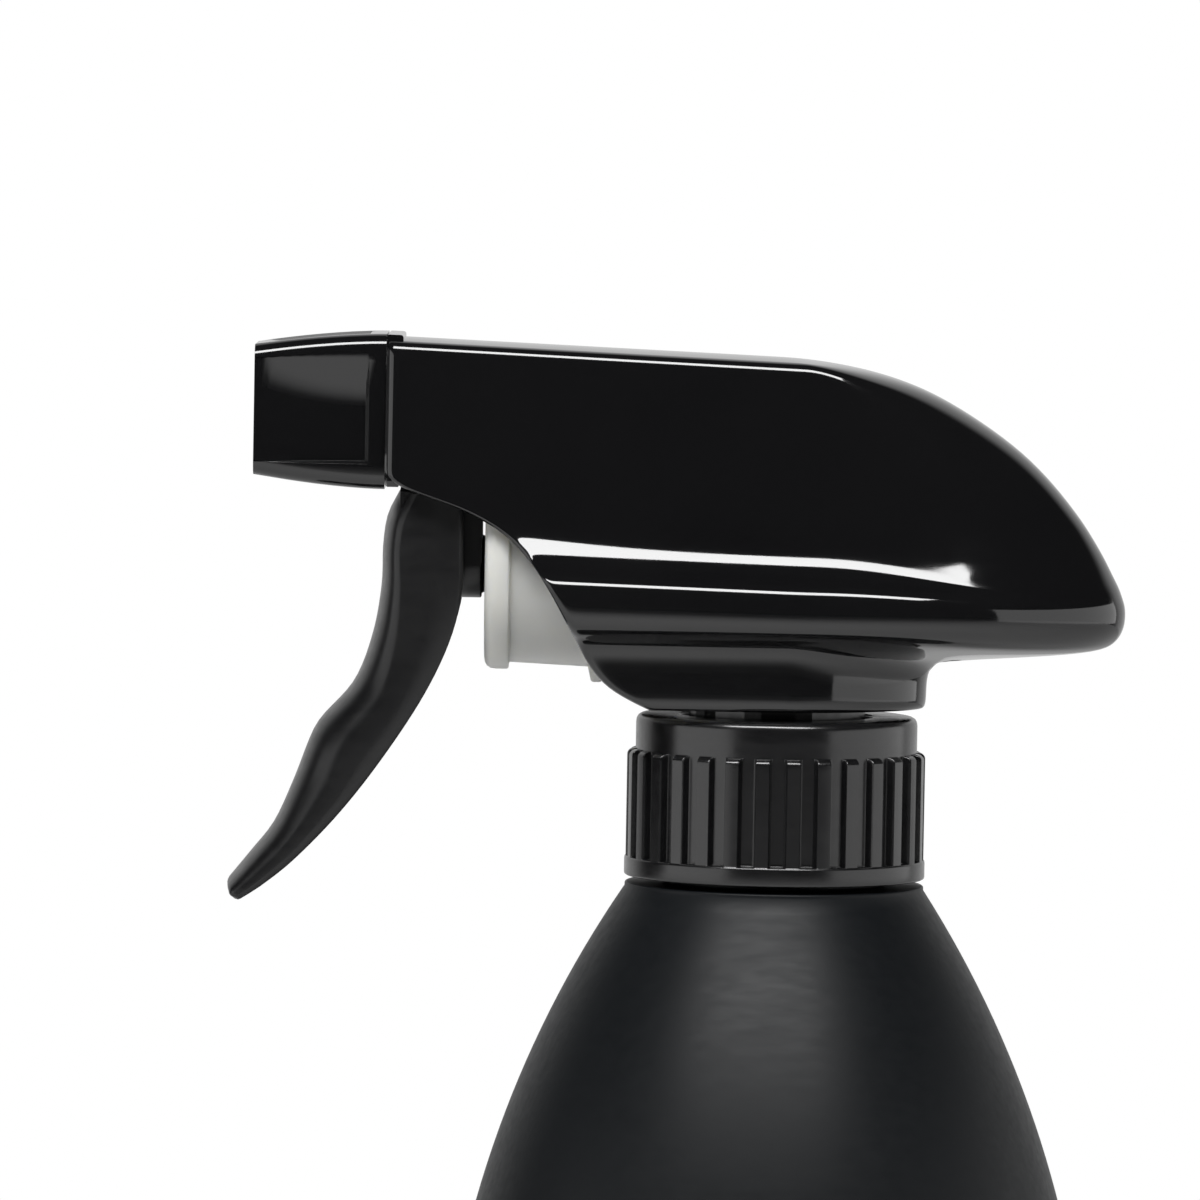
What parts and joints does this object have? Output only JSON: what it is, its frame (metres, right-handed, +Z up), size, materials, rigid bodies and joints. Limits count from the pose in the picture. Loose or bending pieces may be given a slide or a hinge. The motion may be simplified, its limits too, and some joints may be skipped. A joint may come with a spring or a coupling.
{
  "type": "hand mister",
  "caption": "Trigger sprayer head with a square nozzle and a ribbed closure cap on a bullet-shaped bottle.",
  "frame": {"origin": "centre of the bottle's foot, on the bottle's axis, in the plane it stands on", "axes": "+Z up along the bottle's axis, -X the way the nozzle sprays, +Y across the head"},
  "size_m": [0.1021, 0.0748, 0.2112],
  "materials": {
    "bottle_matte_black": "soft matte black",
    "gloss_black": "high gloss black",
    "satin_black": "satin black",
    "natural_plastic": "unpigmented, milky",
    "white_plastic": "white moulded plastic",
    "black_rubber": "matte rubber",
    "steel": "stainless wire and balls"
  },
  "bodies": {
    "bottle": {"bottle": "bottle_matte_black"},
    "head": {"neck_gasket": "white_plastic", "tube_retainer": "satin_black", "retainer_seal": "black_rubber", "dip_tube": "natural_plastic", "inlet_filter": "white_plastic", "pump_body": "natural_plastic", "passage_plug": "natural_plastic", "discharge_spring": "steel", "spinner": "white_plastic", "nozzle_seal": "black_rubber", "return_spring": "steel", "shroud": "gloss_black"},
    "cap": {"closure_cap": "satin_black"},
    "trigger": {"trigger": "satin_black"},
    "piston": {"piston": "natural_plastic", "piston_seal": "black_rubber", "vent_seal": "black_rubber"},
    "nozzle": {"nozzle_cap": "gloss_black", "nozzle_orifice": "white_plastic"},
    "intake_ball": {"intake_ball": "steel"},
    "discharge_ball": {"discharge_ball": "steel"}
  },
  "joints": [
    {"name": "head_lift", "type": "slide", "parent": "bottle", "child": "head", "axis": [0, 0, 1], "range_m": [0, 0.0064]},
    {"name": "cap_turn", "type": "hinge", "parent": "head", "child": "cap", "pos_m": [0, 0, 0.15], "axis": [0, 0, 1], "range_deg": [0, 540]},
    {"name": "trigger_pull", "type": "hinge", "parent": "head", "child": "trigger", "pos_m": [-0.0316, 0, 0.2002], "axis": [0, -1, 0], "range_deg": [0, 21], "stiffness_Nm_per_rad": 0.3, "springref_deg": -14.32},
    {"name": "piston_slide", "type": "slide", "parent": "head", "child": "piston", "axis": [1, 0, 0], "range_m": [0, 0.0057], "deforming": ["return_spring"]},
    {"name": "nozzle_turn", "type": "hinge", "parent": "head", "child": "nozzle", "pos_m": [-0.05, 0, 0.20235], "axis": [-1, 0, 0], "continuous": true},
    {"name": "intake_ball_lift", "type": "slide", "parent": "head", "child": "intake_ball", "axis": [0, 0, 1], "range_m": [0, 0.0012]},
    {"name": "discharge_ball_lift", "type": "slide", "parent": "head", "child": "discharge_ball", "axis": [-1, 0, 0], "range_m": [0, 0.001], "stiffness_N_per_m": 60, "springref_m": -0.001, "deforming": ["discharge_spring"]}
  ],
  "couplings": [
    {"joint": "head_lift", "follows": "cap_turn", "m_per_rad": 0.00067323},
    {"joint": "piston_slide", "follows": "trigger_pull", "m_per_rad": 0.015297}
  ]
}
